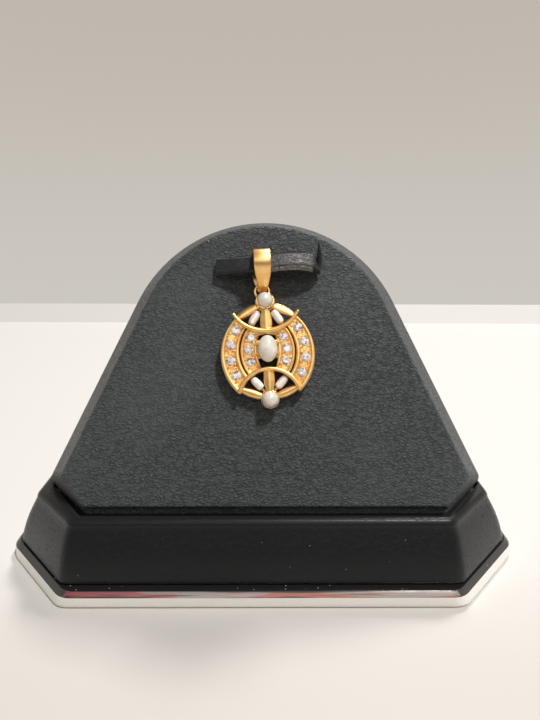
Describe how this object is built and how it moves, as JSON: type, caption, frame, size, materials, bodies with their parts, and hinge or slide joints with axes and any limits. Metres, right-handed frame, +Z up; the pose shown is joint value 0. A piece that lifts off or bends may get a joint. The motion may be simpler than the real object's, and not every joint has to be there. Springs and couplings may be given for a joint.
{
  "type": "pearl pendant and display stand",
  "caption": "Openwork gold pendant with pearls, clear stones and frosted leaves, hung by its bail on the strap of a leaning leatherette stand with a mirror plate.",
  "frame": {"origin": "centre of the base plate's underside, which stands on the table", "axes": "+X along the stand's long side, to the viewer's right, -Y towards the viewer, +Z up"},
  "size_m": [0.0942, 0.0468, 0.06],
  "materials": {
    "mirror_plate": "polished mirror plate with a bevelled edge",
    "leatherette": "smooth black leatherette, half matt",
    "leatherette_grained": "grained black leatherette, matt",
    "leatherette_strap": "black leatherette strip with raw cut edges",
    "gold": "satin yellow gold",
    "white_metal": "frosted white gold",
    "pearl": "pearl lustre, cream white",
    "clear_stone": "faceted and polished"
  },
  "bodies": {
    "root": {"base_plate": "mirror_plate", "base_block": "leatherette", "panel": "leatherette_grained", "strap": "leatherette_strap", "bail": "gold", "jump_ring": "gold", "pendant_frame": "gold", "top_pearl": "pearl", "centre_pearl": "pearl", "bottom_pearl": "pearl", "white_leaf_upper_left": "white_metal", "white_leaf_lower_left": "white_metal", "white_leaf_upper_right": "white_metal", "white_leaf_lower_right": "white_metal", "stone_outer_left_1": "clear_stone", "stone_outer_left_2": "clear_stone", "stone_outer_left_3": "clear_stone", "stone_outer_left_4": "clear_stone", "stone_outer_right_1": "clear_stone", "stone_outer_right_2": "clear_stone", "stone_outer_right_3": "clear_stone", "stone_outer_right_4": "clear_stone", "stone_inner_left_1": "clear_stone", "stone_inner_left_2": "clear_stone", "stone_inner_left_3": "clear_stone", "stone_inner_right_1": "clear_stone", "stone_inner_right_2": "clear_stone", "stone_inner_right_3": "clear_stone"}
  },
  "joints": []
}
